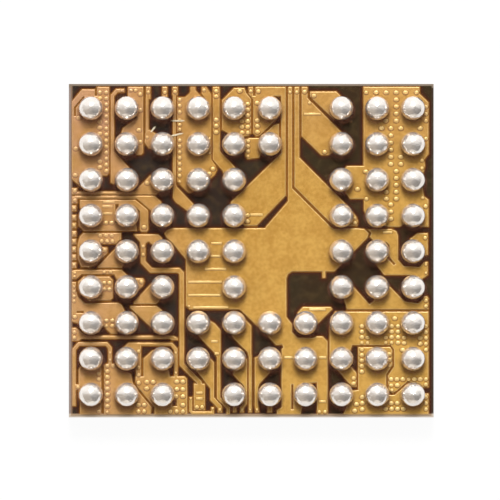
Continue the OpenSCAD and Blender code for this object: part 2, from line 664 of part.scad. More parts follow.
// Plate under balls H3 and J3, with a track from ball H2 over the top
PLATE_H3 = net(
    balls = [[2, 8], [3, 8], [3, 9]],
    plates = [
        [
            [1.86, 7.74], [2.05, 7.555], [3.27, 7.555], [3.42, 7.72], [3.42, 8.56], [3.33, 8.56],
            [3.33, 7.76], [3.23, 7.635], [2.4, 7.635], [2.4, 8.56], [2.27, 8.56], [2.24, 8], [2, 8]
        ],
        [
            [2.25, 8.5], [2.47, 8.5], [2.47, 8], [2.72, 7.77], [2.9, 7.8], [3, 8], [3.16, 8.3],
            [3.2, 8.5], [3.62, 8.5], [3.68, 8.56], [3.69, 9.05], [3.69, south], [2.78, south],
            [2.78, 9.36], [2.31, 8.8], [2.25, 8.68]
        ]
    ],
    cuts = [box([3.27, 9.14], [3.4, 9.33])],
    vias = concat(
        [[2.335, 7.8], [2.335, 8.25], [2.335, 8.46], [3.375, 7.84], [3.375, 8.4]],
        row(8.65, 3.4, 3.57, 2), row(8.86, 3.4, 3.57, 2), row(9.06, 3.38, 3.57, 2),
        row(9.48, 3.22, 3.57, 3), row(8.66, 2.56, 2.74, 2), [[3.57, 9.3], [2.335, 8.68], [2.56, 8.84]]
    )
);
module plate_h3() { copper_net(PLATE_H3); }

// Thin link along the row of dark fields over row H
LINK_TRACK = net(
    plates = [[
        [west, 7.14], [0.58, 7.14], [0.86, 7.36], [3.3, 7.36], [3.42, 7.42], [3.42, 7.48], [3.26, 7.48],
        [3.2, 7.44], [0.76, 7.44], [0.64, 7.5], [west, 7.5]
    ]],
    vias = concat(column(0.54, 7.27, 7.42, 2), [[3.35, 7.42]])
);
module link_track() { copper_net(LINK_TRACK); }

// U-shaped link round the via pad of the long track
U_TRACK = net(
    tracks = [[[[3.79, 9.08], [3.79, 9.46], [3.84, 9.515], [4.4, 9.515], [4.4, 9.36]], fine_w]],
    vias = [[3.79, 9.12], [4.4, 9.4]]
);
module u_track() { copper_net(U_TRACK); }

// Small square pads down the left edge
edge_pad_rows = [3.8, 4.06, 4.28, 4.51, 4.73, 4.95, 5.17, 5.39];
edge_pad_end = west + edge_pad_l / pitch;
edge_pad_half = edge_pad_w / 2 / pitch;
EDGE_PADS = net(
    plates = [
        for (r = edge_pad_rows) box([west, r - edge_pad_half], [edge_pad_end, r + edge_pad_half])
    ],
    vias = [for (r = edge_pad_rows) [(west + edge_pad_end) / 2, r]]
);
module edge_pads() { copper_net(EDGE_PADS); }

NETS = [
    SUPPLY_A1, TRACK_C2, PLATE_A2, TRACK_B3, STUB_A3, PLATE_A4, TRACK_D4, TRACK_C5, PLATE_A5,
    WING_A6, PLATE_B6, CENTRE_PLANE, WING_D8, PLATE_B8, PLATE_A8, BLOCK_A9, TRACK_E9, PAD_E10,
    BAND_F8, BLOCK_G8, BLOCK_H9, PAD_G7, TRACK_C3, TRACK_D3, PLATE_D1, PLATE_E1, PLATE_E2,
    PLATE_F2, PLATE_F1, PLATE_G1, PLATE_F3, PLATE_G3, LONG_TRACK_E3, TRACK_G4, TRACK_H4,
    TRACK_G5, TRACK_H5, STUB_J5, TRACK_H6, STUB_J6, LOOP_H1, PLATE_H3, LINK_TRACK, U_TRACK, EDGE_PADS
];
BALLS = [for (n = NETS) each net_balls(n)];

// Flat outline of one net, with a round pad under each of its balls
module net_outline(n) {
    difference() {
        union() {
            for (outline = net_plates(n)) polygon(spots(outline));
            for (t = net_tracks(n)) polygon(track_sides(spots(t[0]), t[1]));
            for (b = net_balls(n)) translate(spot(b)) circle(d = pad_d);
        }
        for (outline = net_cuts(n)) polygon(spots(outline));
    }
}

// Flat outlines of the round and bar vias of one net
module via_outline(n) {
    for (v = net_vias(n)) translate(spot(v)) circle(d = via_d);
    for (b = net_bars(n)) polygon(track_sides(spots(b), bar_w));
}

// One net in copper, with its vias filled down to the die
module copper_net(n) {
    color("goldenrod") {
        translate([0, 0, copper_z]) linear_extrude(copper_t) net_outline(n);
        translate([0, 0, lower_z]) linear_extrude(lower_film_t) via_outline(n);
    }
}

// Outline of the films, inside the saw street and with round corners
module film_outline() {
    w = body_w - 2 * street_w;
    l = body_l - 2 * street_w;
    r = film_corner_r;
    square([w - 2 * r, l], center = true);
    square([w, l - 2 * r], center = true);
    for (x = [-1, 1], y = [-1, 1]) translate([x * (w / 2 - r), y * (l / 2 - r)]) circle(r);
}

module die_slab(z, t) {
    translate([-body_w / 2, -body_l / 2, z]) cube([body_w, body_l, t]);
}

module back_coating() {
    color("#1c1c1e") die_slab(0, back_coat_t);
}

module silicon_die() {
    color("#3b3a3c") die_slab(die_z, die_t);
}

// Polyimide under the copper, with an opening for every via
module lower_polyimide() {
    color("#4a3a22") translate([0, 0, lower_z]) linear_extrude(lower_film_t) difference() {
        film_outline();
        for (n = NETS) via_outline(n);
    }
}

// Polyimide between and over the copper, with an opening for every ball
module top_polyimide() {
    color("#b98a3c", 0.4) {
        translate([0, 0, copper_z]) linear_extrude(copper_t) difference() {
            film_outline();
            for (n = NETS) net_outline(n);
        }
        translate([0, 0, cover_z]) linear_extrude(cover_t) difference() {
            film_outline();
            for (b = BALLS) translate(spot(b)) circle(d = opening_d);
        }
    }
}

// Bump metal: a plug in the film opening with a rim on the film
module bump_pads() {
    color("silver") for (b = BALLS) translate(spot(b)) rotate_extrude() polygon([
        [0, cover_z], [opening_d / 2, cover_z], [opening_d / 2, face_z],
        [bump_d / 2, face_z], [bump_d / 2, bump_z], [0, bump_z]
    ]);
}

// A ball is round and cut flat at its foot, where it is as wide as its bump
module solder_ball() {
    lift = sqrt(pow(ball_d / 2, 2) - pow(bump_d / 2, 2));
    translate([0, 0, bump_z]) difference() {
        translate([0, 0, lift]) sphere(d = ball_d);
        translate([-ball_d, -ball_d, -2 * ball_d]) cube([2 * ball_d, 2 * ball_d, 2 * ball_d]);
    }
}

module ball_row(r) {
    color("gainsboro") for (b = BALLS) if (b[1] == r) translate(spot(b)) solder_ball();
}
module balls_row_a() { ball_row(1); }
module balls_row_b() { ball_row(2); }
module balls_row_c() { ball_row(3); }
module balls_row_d() { ball_row(4); }
module balls_row_e() { ball_row(5); }
module balls_row_f() { ball_row(6); }
module balls_row_g() { ball_row(7); }
module balls_row_h() { ball_row(8); }
module balls_row_j() { ball_row(9); }

back_coating();
silicon_die();
lower_polyimide();
supply_a1();
track_c2();
plate_a2();
track_b3();
stub_a3();
plate_a4();
track_d4();
track_c5();
plate_a5();
wing_a6();
plate_b6();
centre_plane();
wing_d8();
plate_b8();
plate_a8();
block_a9();
track_e9();
pad_e10();
band_f8();
block_g8();
block_h9();
pad_g7();
track_c3();
track_d3();
plate_d1();
plate_e1();
plate_e2();
plate_f2();
plate_f1();
plate_g1();
plate_f3();
plate_g3();
long_track_e3();
track_g4();
track_h4();
track_g5();
track_h5();
stub_j5();
track_h6();
stub_j6();
loop_h1();
plate_h3();
link_track();
u_track();
edge_pads();
top_polyimide();
bump_pads();
balls_row_a();
balls_row_b();
balls_row_c();
balls_row_d();
balls_row_e();
balls_row_f();
balls_row_g();
balls_row_h();
balls_row_j();
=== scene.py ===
# %% [markdown]
# # A bare power chip, lying with its solder balls up
# The chip is a sliver of silicon with thin layers on its face: a lower film, gold-coloured copper
# tracks, a clear amber film over them, and 78 solder balls. The packed solids give every outline and
# height. Blender adds what solids can't hold: soft edges on the copper, bright via heads, worn and
# grainy finishes, and light. First the solids are loaded.

# %% Load the packed chip
import math

import bpy
from mathutils import Matrix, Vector
from mathutils.bvhtree import BVHTree


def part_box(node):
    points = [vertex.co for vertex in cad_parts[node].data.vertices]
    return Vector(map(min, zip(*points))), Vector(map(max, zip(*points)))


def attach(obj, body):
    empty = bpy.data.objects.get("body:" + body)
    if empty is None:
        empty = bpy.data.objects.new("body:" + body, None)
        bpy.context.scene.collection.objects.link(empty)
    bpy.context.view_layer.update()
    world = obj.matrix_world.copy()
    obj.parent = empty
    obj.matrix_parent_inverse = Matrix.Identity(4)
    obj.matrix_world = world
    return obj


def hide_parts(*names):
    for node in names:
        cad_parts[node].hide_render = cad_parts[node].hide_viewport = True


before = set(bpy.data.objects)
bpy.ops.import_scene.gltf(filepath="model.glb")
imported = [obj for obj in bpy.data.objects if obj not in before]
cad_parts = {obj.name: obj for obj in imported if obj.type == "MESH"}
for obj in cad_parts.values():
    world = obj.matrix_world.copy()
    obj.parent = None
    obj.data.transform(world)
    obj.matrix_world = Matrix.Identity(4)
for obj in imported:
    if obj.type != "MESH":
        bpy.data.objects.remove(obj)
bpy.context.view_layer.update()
MM = 0.001

# %% [markdown]
# Chip makers count in micrometres, and Blender's edit tools lose their footing at that size. So every
# piece is drawn at one unit to the millimetre and made small again when it is handed over. The heights
# of the layers are read from the solids rather than typed, so that nothing has to be fitted by eye.

# %% Read the heights of the layers
SHEETS = ["back_coating", "silicon_die", "lower_polyimide", "top_polyimide", "bump_pads"]
ball_rows = sorted(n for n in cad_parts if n.startswith("balls_row_"))
nets = sorted(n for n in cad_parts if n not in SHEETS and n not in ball_rows)


def top_of(node):
    """Highest point of a CAD node, in millimetres."""
    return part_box(node)[1].z / MM


die_top = top_of("silicon_die")
lower_top = top_of("lower_polyimide")
copper_top = top_of("centre_plane")
face_top = top_of("top_polyimide")
print("copper nets:", len(nets), "rows of balls:", len(ball_rows))
print("heights in mm:", [round(z, 4) for z in (die_top, lower_top, copper_top, face_top)])

# %% [markdown]
# The photograph looks straight down from far away, so no side of the chip shows. A long lens high above
# would come close, but a camera without perspective gives exactly that. Its width is the width of the
# picture on the chip, and its centre is a little off the chip's centre, as in the photograph.

# %% Camera
VIEW_WIDTH = 5.588
VIEW_CENTRE = (-0.0138, 0.0075)
CAMERA_HEIGHT = 40
CAMERA_CLIP = (1, 1000)

camera_data = bpy.data.cameras.new("camera")
camera_data.type = "ORTHO"
camera_data.ortho_scale = VIEW_WIDTH * MM
camera_data.clip_start = CAMERA_CLIP[0] * MM
camera_data.clip_end = CAMERA_CLIP[1] * MM
camera = bpy.data.objects.new("camera", camera_data)
camera.location = (VIEW_CENTRE[0] * MM, VIEW_CENTRE[1] * MM, CAMERA_HEIGHT * MM)
bpy.context.scene.collection.objects.link(camera)
bpy.context.scene.camera = camera
bpy.context.scene.view_settings.view_transform = "Standard"
print("camera looks down on", VIEW_WIDTH, "mm")

# %% [markdown]
# A finish is a small network of nodes. Written out one by one they hide the idea, so a socket is
# wrapped in a class that knows plus, minus and times. Then a finish reads as arithmetic, and one method
# makes any other node that is needed.

# %% Shader maths as plain expressions
class Wire:
    """An output socket of a node tree. Arithmetic on it adds Math nodes."""

    def __init__(self, tree, socket=None):
        self.tree = tree
        self.socket = socket

    def node(self, kind, settings=None, inputs=None, out=0):
        """Adds a node: its type, its settings, the values or links of its sockets, and the output used."""
        made = self.tree.nodes.new(kind)
        for name, value in (settings or {}).items():
            setattr(made, name, value)
        for name, value in (inputs or {}).items():
            if isinstance(value, Wire):
                self.tree.links.new(value.socket, made.inputs[name])
            else:
                made.inputs[name].default_value = value
        return Wire(self.tree, made.outputs[out])

    def maths(self, operation, a, b):
        """Adds a Math node for two numbers or wires."""
        return self.node("ShaderNodeMath", {"operation": operation}, {0: a, 1: b})

    def __add__(self, other):
        return self.maths("ADD", self, other)

    __radd__ = __add__

    def __sub__(self, other):
        return self.maths("SUBTRACT", self, other)

    def __rsub__(self, other):
        return self.maths("SUBTRACT", other, self)

    def __mul__(self, other):
        return self.maths("MULTIPLY", self, other)

    __rmul__ = __mul__

    def step(self, low, high):
        """0 below low, 1 above high, and a soft rise between."""
        return self.node(
            "ShaderNodeMapRange",
            {"interpolation_type": "SMOOTHSTEP"},
            {"Value": self, "From Min": low, "From Max": high},
        )

    def along(self, axis):
        """One coordinate, X, Y or Z, of a place or a direction."""
        return self.node("ShaderNodeSeparateXYZ", None, {0: self}, axis)

    def ray(self, kind):
        """1 for rays of this kind, such as those from the camera, and 0 for all others."""
        return self.node("ShaderNodeLightPath", out=kind)

    def blend(self, first, second):
        """A colour that goes from first, where this is 0, to second, where it is 1."""
        return self.node("ShaderNodeMix", {"data_type": "RGBA"}, {0: self, 6: first, 7: second}, out=2)


print("a wire knows:", [name for name in vars(Wire) if not name.startswith("_")])

# %% [markdown]
# Metal and film are never one flat colour, so every finish starts in the same way: a material, the
# places on its surface, and soft noise. Pictures could give the pattern too, but they need files and
# blur when seen close up. Noise has neither fault, and its size is given in millimetres. It keeps
# mostly between 0.3 and 0.7, so a step over that span, or over a tighter one, brings out its blotches,
# and more detail makes their edges ragged. Object coordinates keep it fixed to the chip.

# %% Helpers for the finishes
SOFT_SPAN = (0.3, 0.7)
CRISP_SPAN = (0.35, 0.65)
RAGGED = 3.0


def rgb(red, green, blue):
    """A colour written as it looks on a screen, 0 to 255, as the linear one that nodes take."""
    def linear(value):
        share = value / 255
        return share / 12.92 if share <= 0.04045 else ((share + 0.055) / 1.055) ** 2.4
    return (linear(red), linear(green), linear(blue), 1)


def new_finish(name):
    """A bare material: the material, a start for its expressions, and its Object coordinates."""
    material = bpy.data.materials.new(name)
    material.use_nodes = True
    start = Wire(material.node_tree)
    place = start.node("ShaderNodeTexCoord", out="Object")
    return material, start, place


def grain(start, place, size, detail=2.0):
    """Soft noise whose blotches are about size millimetres wide."""
    sockets = {"Vector": place, "Scale": 1 / (size * MM), "Detail": detail}
    return start.node("ShaderNodeTexNoise", None, sockets)


def relief(start, height, depth):
    """A bumped normal: height from 0 to 1 stands for depth millimetres."""
    return start.node("ShaderNodeBump", None, {"Height": height, "Distance": depth * MM}, out="Normal")


def set_surface(material, varying, fixed=None):
    """Links what varies to the surface shader, and sets what doesn't on its own sockets."""
    shader = material.node_tree.nodes["Principled BSDF"]
    for name, wire in varying.items():
        material.node_tree.links.new(wire.socket, shader.inputs[name])
    for name, value in (fixed or {}).items():
        shader.inputs[name].default_value = value


print("a mid grey of 128 is", round(rgb(128, 128, 128)[0], 3), "in linear light")

# %% [markdown]
# Plated copper under an amber film looks like dull gold: grainy, cloudy, and a little redder in places.
# A single colour would look like paint, so clouds, specks and a fine grain mix a deep and a pale gold,
# and the fine grain also roughens the gloss. The gold gets paler towards the near right corner, and
# towards the left and far edges it turns a little pink. A sloped edge and a raised via head catch more
# light, and the ring round a head less, so they get paler and darker versions of the same finish: a
# painted highlight on rims and heads and painted shade in the rings, on top of what their slopes do.

# %% Gold finishes of the copper
GOLD_METAL = 0.3
GOLD_GRAIN = 0.0006
TONE = 0.4
TONE_SPAN = (-2 * MM, 2 * MM)
PINK_STRENGTH = 0.7
EDGE_PINK = rgb(204, 152, 126)
PINK_LEFT = (-1.9 * MM, -0.1 * MM)
PINK_FAR = (0.6 * MM, 1.8 * MM)
FAR_SHARE = 0.4


def gold(name, deep, pale, dull):
    material, start, place = new_finish(name)
    x = place.along("X")
    y = place.along("Y")
    clouds = grain(start, place, 0.16, RAGGED)
    specks = grain(start, place, 0.04)
    fine = grain(start, place, 0.014)
    shade = clouds.step(*CRISP_SPAN) * 0.4 + specks.step(*CRISP_SPAN) * 0.35 + fine * 0.25
    shade = shade + (x.step(*TONE_SPAN) - y.step(*TONE_SPAN)) * TONE
    # Towards the left and far edges the gold is blended a little towards pink.
    edges = 1 - x.step(*PINK_LEFT) + y.step(*PINK_FAR) * FAR_SHARE
    pinkness = edges * clouds * PINK_STRENGTH
    colour = pinkness.blend(shade.blend(rgb(*deep), rgb(*pale)), EDGE_PINK)
    normal = relief(start, fine, GOLD_GRAIN)
    varying = {"Base Color": colour, "Roughness": fine * 0.2 + dull, "Normal": normal}
    set_surface(material, varying, {"Metallic": GOLD_METAL})
    return material


copper_gold = gold("copper_gold", (192, 141, 53), (218, 170, 80), 0.36)
# The rim and head finishes are paler gold, a painted highlight, and the ring finish is darker gold,
# painted shade.
copper_rim = gold("copper_rim", (224, 180, 102), (236, 200, 130), 0.32)
via_head = gold("via_head", (244, 200, 116), (253, 219, 142), 0.28)
via_ring = gold("via_ring", (120, 72, 20), (150, 98, 32), 0.4)
print("gold finishes:", [m.name for m in (copper_gold, copper_rim, via_head, via_ring)])

# %% [markdown]
# Most pieces start as a copy of their solid, which saves drawing an outline twice. The solids are loose
# triangles, so a copy is merged first, and its flat areas are joined into single faces that the edit
# tools can work on. An operator acts on all that is selected, so only the copy is selected before it.

# %% Copy a solid
MERGE = 0.00002
FLAT = math.radians(0.5)


def only(piece):
    """Selects one object and makes it the active one."""
    bpy.ops.object.select_all(action="DESELECT")
    piece.select_set(True)
    bpy.context.view_layer.objects.active = piece


def merged_copy(node, name):
    """A copy of a CAD node in millimetres, with its triangles merged and its flat areas joined."""
    piece = bpy.data.objects.new(name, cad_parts[node].data.copy())
    bpy.context.scene.collection.objects.link(piece)
    piece.data.materials.clear()
    piece.data.transform(Matrix.Scale(1 / MM, 4))
    only(piece)
    bpy.ops.mesh.customdata_custom_splitnormals_clear()
    bpy.ops.object.mode_set(mode="EDIT")
    bpy.ops.mesh.select_all(action="SELECT")
    bpy.ops.mesh.remove_doubles(threshold=MERGE)
    bpy.ops.mesh.dissolve_limited(angle_limit=FLAT)
    bpy.ops.object.mode_set(mode="OBJECT")
    return piece


print("points closer than", MERGE, "mm are merged in a copy")

# %% [markdown]
# A via is a hole in the lower film through which the copper reaches down to the die, so on the solid it
# is a face at the height of the die's top. Each net is copied here, and two things are read from the
# copy while it is still plain: its vias, and its upright walls, from which distances to the copper are
# measured later. Typing the places again would be no less work, and they could drift from the solids.
# Heights that differ by less than half a micrometre count as one level.

# %% Copy the copper nets, and read their vias and walls
LEVEL = 0.0005
UPRIGHT = 0.1
LEVEL_FACE = 0.9

copper = {}
via_places = {}
wall_points = []
wall_faces = []


def at_level(z, level):
    return abs(z - level) < LEVEL


def note_walls(mesh):
    """Keeps the upright walls of a net."""
    for face in mesh.polygons:
        if abs(face.normal.z) < UPRIGHT and face.center.z > lower_top:
            wall_faces.append(range(len(wall_points), len(wall_points) + len(face.vertices)))
            wall_points.extend(mesh.vertices[i].co.copy() for i in face.vertices)


def via_boxes(mesh):
    """Centre and size of each via, from the faces that touch the die."""
    boxes = []
    for face in mesh.polygons:
        if at_level(face.center.z, die_top) and face.normal.z < -LEVEL_FACE:
            xs = [mesh.vertices[i].co.x for i in face.vertices]
            ys = [mesh.vertices[i].co.y for i in face.vertices]
            centre = ((min(xs) + max(xs)) / 2, (min(ys) + max(ys)) / 2)
            boxes.append((centre, (max(xs) - min(xs), max(ys) - min(ys))))
    return boxes


for net in nets:
    copper[net] = merged_copy(net, net + "_copper")
    note_walls(copper[net].data)
    via_places[net] = via_boxes(copper[net].data)
print("nets:", len(copper), "vias:", sum(len(v) for v in via_places.values()))

# %% [markdown]
# Each net is etched from one plated sheet, so its upper edge isn't sharp: it slopes for a few
# micrometres. A bevel of every top edge could give that slope. An inset of the top face does it in one
# move, and leaves the new ring of faces selected, ready for the paler rim. Then the ring's outer edge is
# pushed down. One plate has a neck too narrow for the full slope, and gets half of it.

# %% Sloped edges of the copper
RIM = 0.008
NARROW_RIM = {"plate_a4": 0.004}
RIM_DROP = 0.004


def pick(piece, faces=(), points=()):
    """Leaves only these faces or points of a piece selected, and goes into edit mode."""
    mesh = piece.data
    mesh.polygons.foreach_set("select", [False] * len(mesh.polygons))
    mesh.edges.foreach_set("select", [False] * len(mesh.edges))
    mesh.vertices.foreach_set("select", [False] * len(mesh.vertices))
    for index in faces:
        mesh.polygons[index].select = True
    for index in points:
        mesh.vertices[index].select = True
    bpy.context.tool_settings.mesh_select_mode = (not faces, False, bool(faces))
    only(piece)
    bpy.ops.object.mode_set(mode="EDIT")


def slope_edges(piece, rim):
    """Insets a net's top, paints the ring as rim (a painted highlight), and pushes its outer edge down."""
    mesh = piece.data
    tops = [f.index for f in mesh.polygons if f.normal.z > LEVEL_FACE and at_level(f.center.z, copper_top)]
    pick(piece, faces=tops)
    bpy.ops.mesh.inset(thickness=rim, use_boundary=True, use_even_offset=True, use_select_inset=True)
    piece.active_material_index = 1
    bpy.ops.object.material_slot_assign()
    bpy.ops.object.mode_set(mode="OBJECT")
    outer = set()
    for face in mesh.polygons:
        if abs(face.normal.z) < UPRIGHT:
            outer.update(i for i in face.vertices if at_level(mesh.vertices[i].co.z, copper_top))
    pick(piece, points=outer)
    bpy.ops.transform.translate(value=(0, 0, -RIM_DROP))
    bpy.ops.object.mode_set(mode="OBJECT")


for net, piece in copper.items():
    piece.data.materials.append(copper_gold)
    piece.data.materials.append(copper_rim)
    slope_edges(piece, NARROW_RIM.get(net, RIM))
print("faces with slopes:", sum(len(p.data.polygons) for p in copper.values()))

# %% [markdown]
# From above a via shows as a bright head in a dark ring: the plating dips into the opening and rises in
# its middle. On top of that relief, the head's paler finish is a painted highlight and the ring's darker
# one painted shade. A half ball would be too tall and too round, as a head is low and flat on top. It
# is set a little towards the far side of its ring, so that the ring's painted shade is wider on the near
# side, away from the sun. So a disc is inset for the ring and shifted, then inset and raised twice. The
# round head is modelled once, for copying. A bar-shaped via gets a ridge of its own length, made in the
# same way from a plane.

# %% Model the via heads
HEAD_SIDES = 16
HEAD_R = 0.032
HEAD_RISE = 0.0078
HEAD_STEPS = ((0.1, 0.6), (0.14, 0.35))
HEAD_SHIFT = 0.09
HEAD_SMOOTH = math.radians(50)
RING_SHARE = 0.19
RIDGE_LIP = 0.007


def raise_head(piece, half_width, rise):
    """Turns a flat face into a ring of painted shade with a raised head of painted highlight inside it.

    The ring, the shift and the insets are shares of half its width, and the steps also of its rise.
    """
    piece.data.materials.append(via_ring)
    piece.data.materials.append(via_head)
    pick(piece, faces=[0])
    bpy.ops.mesh.inset(thickness=RING_SHARE * half_width)
    piece.active_material_index = 1
    bpy.ops.object.material_slot_assign()
    # The shift makes the ring's painted shade wider on the near side.
    bpy.ops.transform.translate(value=(0, HEAD_SHIFT * half_width, 0))
    for inset, share in HEAD_STEPS:
        bpy.ops.mesh.inset(thickness=inset * half_width)
        bpy.ops.transform.translate(value=(0, 0, rise * share))
    bpy.ops.object.mode_set(mode="OBJECT")
    bpy.ops.object.shade_smooth_by_angle(angle=HEAD_SMOOTH)


def round_head():
    bpy.ops.object.select_all(action="DESELECT")
    bpy.ops.mesh.primitive_circle_add(vertices=HEAD_SIDES, radius=HEAD_R, fill_type="NGON")
    head = bpy.context.active_object
    raise_head(head, HEAD_R, HEAD_RISE)
    return head


def bar_ridge(size):
    bpy.ops.object.select_all(action="DESELECT")
    bpy.ops.mesh.primitive_plane_add(size=1)
    ridge = bpy.context.active_object
    ridge.data.transform(Matrix.Diagonal((size[0] + RIDGE_LIP, size[1] + RIDGE_LIP, 1, 1)))
    half_width = (min(size) + RIDGE_LIP) / 2
    raise_head(ridge, half_width, HEAD_RISE * half_width / HEAD_R)
    return ridge


first_head = round_head()
print("faces of a round head:", len(first_head.data.polygons))

# %% [markdown]
# The heads are a little wider than they are long. Where they stand alone they are slightly larger than
# in a dense field, and none reaches over the edge of its track. Trying each one against every wall
# would be slow, so a search tree of the walls tells how far the nearest edge is. Each head is stretched
# to its room, set on its via and joined to its net.

# %% Put the heads on the copper
FAR = 0.5
SEAT = 0.0002
STRETCH = (1.08, 0.9)
DENSE = 0.0615
GROW = 1.06

walls = BVHTree.FromPolygons(wall_points, wall_faces)
mid_copper = (lower_top + copper_top) / 2


def to_wall(x, y):
    """Distance in millimetres from a point to the nearest edge of the copper."""
    hit = walls.find_nearest((x, y, mid_copper), FAR)
    return hit[3] if hit[0] else FAR


def own_copy(piece, name):
    """A copy of a new piece with a mesh of its own."""
    copy = bpy.data.objects.new(name, piece.data.copy())
    bpy.context.scene.collection.objects.link(copy)
    return copy


def fitted_head(centre, net):
    """A copy of the round head, stretched to the room that its neighbours and its track leave."""
    others = [math.dist(centre, c) for c, size in via_places[net] if c != centre]
    grow = min(GROW, min(others, default=FAR) / DENSE)
    room = to_wall(*centre) / HEAD_R
    width = min(STRETCH[0] * grow, room)
    length = min(STRETCH[1] * grow, room)
    head = own_copy(first_head, "head")
    head.data.transform(Matrix.Diagonal((width, length, min(1, room), 1)))
    return head


def join(pieces):
    """Joins pieces into the first of them."""
    only(pieces[0])
    for piece in pieces[1:]:
        piece.select_set(True)
    if len(pieces) > 1:
        bpy.ops.object.join()
    return pieces[0]


def put_heads(net):
    """Heads and ridges on the vias of a net, joined to its copper."""
    heads = []
    for centre, size in via_places[net]:
        is_round = abs(size[0] - size[1]) < LEVEL
        head = fitted_head(centre, net) if is_round else bar_ridge(size)
        head.data.transform(Matrix.Translation((*centre, copper_top + SEAT)))
        heads.append(head)
    join([copper[net]] + heads)


for net in nets:
    put_heads(net)
bpy.data.objects.remove(first_head)
print("faces with heads:", sum(len(p.data.polygons) for p in copper.values()))

# %% [markdown]
# A finished piece is made small again and set on its body, and a piece that takes the place of a solid
# hides that solid. That could be written out for each piece, but two helpers keep it the same for all:
# one for a piece that is only added, such as the scratches, and one for a piece that takes the place of
# a solid.

# %% Hand over the copper
def make_small(piece):
    """Makes a piece small again, and sets it on the root body."""
    piece.data.transform(Matrix.Scale(MM, 4))
    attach(piece, "root")


def hand_over(piece, node):
    """Makes a piece small again, and hides the CAD node that it takes the place of."""
    make_small(piece)
    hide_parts(node)


for net in nets:
    hand_over(copper[net], net)
print("copper triangles:", sum(len(f.vertices) - 2 for p in copper.values() for f in p.data.polygons))

# %% [markdown]
# Where there is no copper the eye falls through the amber film on to the dark die. Close to a track that
# darkness is painted brown, as light spilling from the copper's edges, so a narrow gap between two tracks
# never gets darker than that. A node that looks for nearby surfaces could find the edge too, but slowly
# and with noise. So the lower film is made as a fine grid whose points each know how far they are from
# the nearest copper. Its border is extruded down to the die and closed.

# %% Lower film that knows how far the copper is
CELLS = (280, 256)
film_low, film_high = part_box("lower_polyimide")
film_size = ((film_high.x - film_low.x) / MM, (film_high.y - film_low.y) / MM)
film_centre = ((film_high.x + film_low.x) / 2 / MM, (film_high.y + film_low.y) / 2 / MM)


def fine_film():
    bpy.ops.object.select_all(action="DESELECT")
    bpy.ops.mesh.primitive_grid_add(x_subdivisions=CELLS[0], y_subdivisions=CELLS[1], size=1)
    film = bpy.context.active_object
    film.name = "lower_film"
    film.data.transform(Matrix.Diagonal((*film_size, 1, 1)))
    film.data.transform(Matrix.Translation((*film_centre, lower_top)))
    bpy.ops.object.mode_set(mode="EDIT")
    bpy.ops.mesh.select_all(action="DESELECT")
    bpy.context.tool_settings.mesh_select_mode = (False, True, False)
    bpy.ops.mesh.select_non_manifold()
    bpy.ops.mesh.extrude_edges_move(TRANSFORM_OT_translate={"value": (0, 0, die_top - lower_top)})
    bpy.ops.mesh.edge_face_add()
    bpy.ops.mesh.select_all(action="SELECT")
    bpy.ops.mesh.normals_make_consistent(inside=False)
    bpy.ops.object.mode_set(mode="OBJECT")
    return film


lower_film = fine_film()
distances = [to_wall(v.co.x, v.co.y) for v in lower_film.data.vertices]
lower_film.data.attributes.new("copper_gap", "FLOAT", "POINT").data.foreach_set("value", distances)
print("grid points:", len(distances), "widest dark field in mm:", round(2 * max(distances), 3))

# %% [markdown]
# The dark of the die isn't black: it is a brown that is cooler on the left and warmer on the right, with
# faint olive mottles. The distance just stored fades it into red-brown and then light brown beside the
# copper: painted light from the copper's edges, laid on by the distance and not by an image mask. Along
# the near and the left edge the colour turns pale in a thin margin.

# %% Finish of the lower film
ACROSS = (-MM, MM)
MOTTLE = 0.45
MOTTLE_SPAN = (0.45, 0.7)
COPPER_GLOW_SPAN = (0.006, 0.017)
OPEN_FIELD = (0.02, 0.06)
MARGIN = 0.03 * MM


def dark_floor():
    material, start, place = new_finish("dark_floor")
    x = place.along("X")
    y = place.along("Y")
    gap = start.node("ShaderNodeAttribute", {"attribute_name": "copper_gap"}, None, "Fac")
    clouds = grain(start, place, 0.3, RAGGED).step(*CRISP_SPAN)
    blotch = grain(start, place, 0.09, RAGGED).step(*MOTTLE_SPAN)
    fine = grain(start, place, 0.02)
    left = clouds.blend(rgb(36, 27, 25), rgb(38, 32, 30))
    right = clouds.blend(rgb(46, 31, 12), rgb(46, 37, 16))
    dark = (blotch * MOTTLE).blend(x.step(*ACROSS).blend(left, right), rgb(78, 62, 34))
    # Light brown beside the copper, then red-brown, then the dark field: painted light from the copper's
    # edges.
    brown = fine.step(*SOFT_SPAN).blend(rgb(134, 84, 26), rgb(152, 100, 36))
    painted_copper_glow = gap.step(*COPPER_GLOW_SPAN).blend(brown, rgb(60, 25, 9))
    field = gap.step(*OPEN_FIELD).blend(painted_copper_glow, dark)
    # The colour turns pale in a thin margin along the left and the near edge.
    left_edge = 1 - x.step(film_low.x, film_low.x + MARGIN)
    near_edge = 1 - y.step(film_low.y, film_low.y + MARGIN)
    colour = near_edge.blend(left_edge.blend(field, rgb(150, 122, 100)), rgb(196, 168, 136))
    varying = {"Base Color": colour, "Roughness": fine * 0.3 + 0.35}
    set_surface(material, varying, {"Specular IOR Level": 0.15})
    return material


lower_film.data.materials.append(dark_floor())
hand_over(lower_film, "lower_polyimide")
print("lower film triangles:", sum(len(f.vertices) - 2 for f in lower_film.data.polygons))

# %% [markdown]
# The top film is a clear amber varnish that fills the gaps between the tracks and covers them. Glass
# with colour in its depth would be slow and noisy for so thin a layer, so it is a glossy skin that is
# almost see-through and faintly brown. It is a copy of its solid whose underside is lifted a few
# micrometres: that leaves room for the via heads, and no two surfaces lie in the same plane, where a
# renderer can't tell which comes first.

# %% Top film
LIFT = 0.0084


def amber_film():
    material, start, place = new_finish("amber_film")
    clouds = grain(start, place, 0.25, RAGGED)
    fine = grain(start, place, 0.03)
    colour = clouds.step(*SOFT_SPAN).blend(rgb(112, 66, 24), rgb(96, 70, 26))
    varying = {"Base Color": colour, "Roughness": fine * 0.2 + 0.12, "Alpha": clouds * 0.04 + 0.02}
    set_surface(material, varying)
    return material


